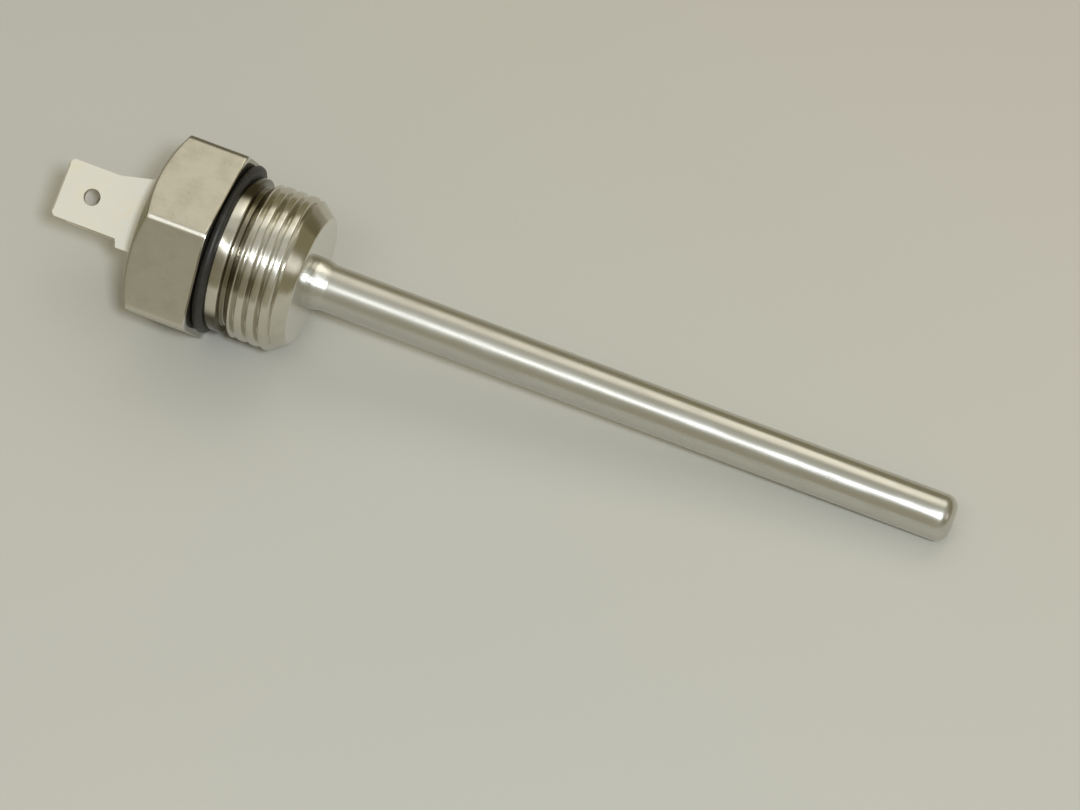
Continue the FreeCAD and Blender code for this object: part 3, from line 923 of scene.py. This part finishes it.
def blade_mesh(name, sizes, shoulder, carrier):
    """Stamped blade: outline with a hole, thinned at its end, with edges rounded by the tool."""
    near = 1e-7
    level = 0.999
    end = shoulder - sizes.length
    shape = bmesh.new()
    rim = [shape.verts.new((x, y, 0.0)) for x, y in blade_outline(sizes, shoulder, carrier)]
    hole = [shape.verts.new((
        end + sizes.hole_setback + sizes.hole_radius * math.cos(a),
        sizes.hole_radius * math.sin(a), 0.0)) for a in even_angles(HOLE_STEPS)]
    edges = []
    for ring in (rim, hole):
        edges += [shape.edges.new((a, b)) for a, b in zip(ring, ring[1:] + ring[:1])]
    bmesh.ops.triangle_fill(shape, use_beauty=True, edges=edges)
    raised = bmesh.ops.extrude_face_region(shape, geom=shape.faces[:])["geom"]
    for item in raised:
        if isinstance(item, bmesh.types.BMVert):
            item.co.z += sizes.thickness
    lift = sizes.spacing / 2 - sizes.thickness / 2
    bmesh.ops.translate(shape, verts=shape.verts, vec=(0.0, 0.0, lift))
    bmesh.ops.recalc_face_normals(shape, faces=shape.faces)
    across = [edge for edge in sharp_edges(shape, 35.0)
              if abs(edge.verts[0].co.z - edge.verts[1].co.z) < near
              and all(abs(vert.co.x - end) < near for vert in edge.verts)]
    bmesh.ops.bevel(shape, geom=across, offset=sizes.bevel, segments=1, affect="EDGES", profile=0.5)
    bmesh.ops.bevel(shape, geom=sharp_edges(shape, 20.0), offset=sizes.edge_round, segments=3,
                    affect="EDGES", profile=0.5, clamp_overlap=True)
    mesh = bpy.data.meshes.new(name)
    shape.normal_update()
    for face in shape.faces:
        face.smooth = abs(face.normal.z) < level
    shape.to_mesh(mesh)
    shape.free()
    return mesh


class SENSOR_OT_blades(bpy.types.Operator):
    """Two push-on blades, one in front of and one behind the axis."""
    bl_idname = "sensor.blades"
    bl_label = "Push-on blades"

    def execute(self, context):
        sizes = context.scene.sensor.blades
        rear = -context.scene.sensor.fitting.head_length
        shoulder = rear - sizes.stand_off
        carrier = rear + sizes.resin_recess + sizes.resin_depth
        hole = shoulder - sizes.length + sizes.hole_setback
        finish = tinned_brass(context.scene.sensor.colours, sizes, hole / MM)
        for side, roll in (("front", sizes.roll), ("rear", sizes.roll + math.pi)):
            node = "terminal_blade_" + side
            mesh = blade_mesh(node, sizes, shoulder, carrier)
            lay_piece("push_on_blade_" + side, mesh, finish, node, roll)
        return {"FINISHED"}


def resin_rows(sizes, pocket, top, angles):
    """The resin's section: flat below, drawn up on top where it meets the wall and the blades."""
    wall_creep = 0.35 * MM
    blade_creep = 0.30 * MM
    sag = 0.10 * MM
    side = 0.5 * MM
    rows = [(top + sizes.resin_depth, pocket * share) for share in (0.01, 0.6, 1.0)]
    rows += [(top + side, pocket)]
    rows = [np.broadcast_to(np.array(row), (len(angles), 2)) for row in rows]
    for share in np.concatenate([1 - np.linspace(0.0, 0.24, 13), np.linspace(0.74, 0.01, 38)]):
        radius = pocket * share
        y = radius * np.cos(angles - sizes.roll)
        z = radius * np.sin(angles - sizes.roll)
        beside = np.maximum(np.abs(y) - sizes.shoulder_width / 2, 0.0)
        above = np.maximum(np.abs(np.abs(z) - sizes.spacing / 2) - sizes.thickness / 2, 0.0)
        rise = np.exp(-(pocket - radius) / wall_creep) + np.exp(-np.hypot(beside, above) / blade_creep)
        dip = sag * (1 - (radius / pocket) ** 2)
        height = top + dip - sizes.meniscus * np.minimum(rise, 1.0)
        rows.append(np.stack([height, np.full_like(angles, radius)], -1))
    return rows


class SENSOR_OT_resin(bpy.types.Operator):
    """Resin in the head's pocket, drawn up where it meets the wall and the blades."""
    bl_idname = "sensor.resin"
    bl_label = "Casting resin"

    def execute(self, context):
        fitting = context.scene.sensor.fitting
        sizes = context.scene.sensor.blades
        angles = even_angles(RESIN_STEPS)
        top = -fitting.head_length + sizes.resin_recess
        mesh = spin("potting_resin", resin_rows(sizes, fitting.pocket_radius, top, angles), angles)
        finish = casting_resin(context.scene.sensor.colours)
        lay_piece("cast_resin", mesh, finish, "potting_resin")
        return {"FINISHED"}


class SENSOR_OT_inside(bpy.types.Operator):
    """Finishes of the pieces inside the sensor, whose solids keep their shape."""
    bl_idname = "sensor.inside"
    bl_label = "Inner pieces"

    def execute(self, context):
        sleeve = plain_insulation("sleeve_plastic", (0.82, 0.82, 0.80), 0.35)
        wire = tinned_wire()
        finishes = {
            "terminal_carrier": plain_insulation("carrier_plastic", (0.72, 0.68, 0.58), 0.45),
            "tube_liner": plain_insulation("liner_plastic", (0.80, 0.77, 0.68), 0.40),
            "thermistor_bead": plain_insulation("bead_coat", (0.06, 0.06, 0.065), 0.30),
            "tip_filler": plain_insulation("filler_compound", (0.80, 0.80, 0.78), 0.60),
            "lead_wire_front": wire,
            "lead_wire_rear": wire,
            "lead_sleeve_front": sleeve,
            "lead_sleeve_rear": sleeve,
        }
        for node, finish in finishes.items():
            for slot in frame["nodes"][node].material_slots:
                slot.material = finish
        return {"FINISHED"}


def light_room(world, level):
    """Surroundings: warm light high on the far side, soft ceiling, dim walls on the near side."""
    f = Finish(world)
    way = f.node("TexCoord", {}, {}, "Generated")
    walls = (0.25, 0.225, 0.135)
    ceiling = (0.47, 0.457, 0.385)
    near_wall = (0.415, 0.391, 0.303)
    dim_window = (0.88, 0.84, 0.715)
    bright_window = (1.55, 1.485, 1.27)
    side_window = (1.10, 1.08, 1.02)

    def towards(azimuth, elevation):
        """Cosine of the angle to a direction, given in degrees."""
        flat = math.cos(math.radians(elevation))
        side = math.radians(azimuth)
        aim = (math.sin(side) * flat, -math.cos(side) * flat, math.sin(math.radians(elevation)))
        return f.node("VectorMath", {"operation": "DOT_PRODUCT"}, {0: way, 1: aim}, "Value")

    across = towards(106.0, 0.0)
    near = f.step(towards(10.0, 4.0), 0.60, 0.98) * 0.8
    far = f.step(towards(196.0, 55.0) + across * across * 0.4, 0.930, 0.978)
    aside = f.step(towards(84.0, 25.0), 0.972, 0.996)
    window = f.mix(f.step(across, -0.02, 0.29), dim_window, bright_window)
    shade = f.mix(f.step(towards(0.0, 90.0), 0.45, 0.85), walls, ceiling)
    for share, light in ((near, near_wall), (far, window), (aside, side_window)):
        shade = f.mix(share, shade, light)
    glow = f.node("Background", {}, {"Color": shade, "Strength": level})
    f.node("OutputWorld", {}, {"Surface": glow})


def table_top(colours):
    """Pale warm-grey table top with faint cloudiness and painted warm light towards its far right."""
    f = new_finish("pale_table")
    here = f.node("TexCoord", {}, {}, "Object")
    x, y = [f.node("SeparateXYZ", {}, {"Vector": here}, name) for name in "XY"]
    cloud = f.grain(here, 9.0, 3.0, 0.5)
    # Painted warm light towards the table's far right
    far_right_light = f.step(y + x * 0.5, 10 * MM, 70 * MM)
    shade = f.mix(f.step(cloud, 0.3, 0.7), colours.floor, tinted(colours.floor, 0.97, 0.98, 1.03))
    shade = f.mix(far_right_light, shade, tinted(colours.floor, 1.03, 1.0, 1.03))
    return f.surface(Base_Color=shade, Roughness=0.75, Specular_IOR_Level=0.25)


def hang_lamp(name, turn, aim, away, size, power, shade):
    """A lamp panel that faces the sensor from a given direction."""
    lamp = bpy.data.lights.new(name, "AREA")
    lamp.shape = "RECTANGLE"
    lamp.size, lamp.size_y = size
    lamp.energy = power
    lamp.color = shade
    panel = bpy.data.objects.new(name, lamp)
    panel.matrix_world = Matrix.Translation(aim) @ turn @ Matrix.Translation((0, 0, away))
    bpy.context.scene.collection.objects.link(panel)


def turned(first, first_axis, second, second_axis):
    """One rotation followed by another about an axis that turns with it."""
    return Matrix.Rotation(first, 4, first_axis) @ Matrix.Rotation(second, 4, second_axis)


class SENSOR_OT_stage(bpy.types.Operator):
    """Pale table, soft surroundings, a lamp beside the camera, a broad lamp, and the camera."""
    bl_idname = "sensor.stage"
    bl_label = "Stage"

    def execute(self, context):
        scene = context.scene
        stage = scene.sensor.stage
        scene.view_settings.view_transform = "Standard"
        scene.world = bpy.data.worlds.new("room")
        light_room(scene.world, stage.room_light)
        top = bpy.data.meshes.new("table")
        reach = 4.0
        corners = [(-reach, -reach, 0), (reach, -reach, 0), (reach, reach, 0), (-reach, reach, 0)]
        top.from_pydata(corners, [], [(0, 1, 2, 3)])
        top.materials.append(table_top(scene.sensor.colours))
        table = bpy.data.objects.new("table", top)
        scene.collection.objects.link(table)
        aim = Vector(stage.aim)
        view = turned(stage.azimuth, "Z", math.pi / 2 - stage.elevation, "X")
        lens = bpy.data.cameras.new("camera")
        lens.sensor_width = FILM_WIDTH
        lens.lens = stage.lens
        lens.clip_start = 10 * MM
        camera = bpy.data.objects.new("camera", lens)
        camera.matrix_world = Matrix.Translation(aim) @ view @ Matrix.Translation((0, 0, stage.distance))
        scene.collection.objects.link(camera)
        scene.camera = camera
        beside = view @ turned(stage.flash_right, "Y", -stage.flash_above, "X")
        hang_lamp("flash", beside, aim, stage.flash_distance, (stage.flash_side, stage.flash_side),
                  stage.flash_power, stage.flash_colour)
        over = turned(stage.panel_azimuth, "Z", stage.panel_tilt, "X")
        hang_lamp("panel", over, aim, stage.panel_distance, (stage.panel_width, stage.panel_depth),
                  stage.panel_power, stage.panel_colour)
        return {"FINISHED"}


class SENSOR_PT_sidebar(bpy.types.Panel):
    """Lists the pieces and their settings."""
    bl_idname = "SENSOR_PT_sidebar"
    bl_label = "Temperature sensor"
    bl_space_type = "VIEW_3D"
    bl_region_type = "UI"
    bl_category = "Sensor"

    def draw(self, context):
        settings = context.scene.sensor
        for operator in OPERATORS:
            self.layout.operator(operator.bl_idname)
        for part in settings.__annotations__:
            values = getattr(settings, part)
            box = self.layout.box()
            for name in values.__annotations__:
                box.prop(values, name)


OPERATORS = (
    SENSOR_OT_fitting,
    SENSOR_OT_seal,
    SENSOR_OT_tube,
    SENSOR_OT_braze,
    SENSOR_OT_blades,
    SENSOR_OT_resin,
    SENSOR_OT_inside,
    SENSOR_OT_stage,
)
GROUPS = (FittingSizes, ProbeSizes, BladeSizes, FinishColours, StageSettings, SensorSettings)
CLASSES = GROUPS + OPERATORS + (SENSOR_PT_sidebar,)


def register():
    for item in CLASSES:
        bpy.utils.register_class(item)
    bpy.types.Scene.sensor = group(SensorSettings, "Sensor", "Settings of the temperature sensor")


def unregister():
    del bpy.types.Scene.sensor
    for item in reversed(CLASSES):
        bpy.utils.unregister_class(item)


def main():
    register()
    bpy.ops.sensor.stage()
    bpy.ops.sensor.fitting()
    bpy.ops.sensor.seal()
    bpy.ops.sensor.tube()
    bpy.ops.sensor.braze()
    bpy.ops.sensor.blades()
    bpy.ops.sensor.resin()
    bpy.ops.sensor.inside()


if __name__ == "__main__":
    main()
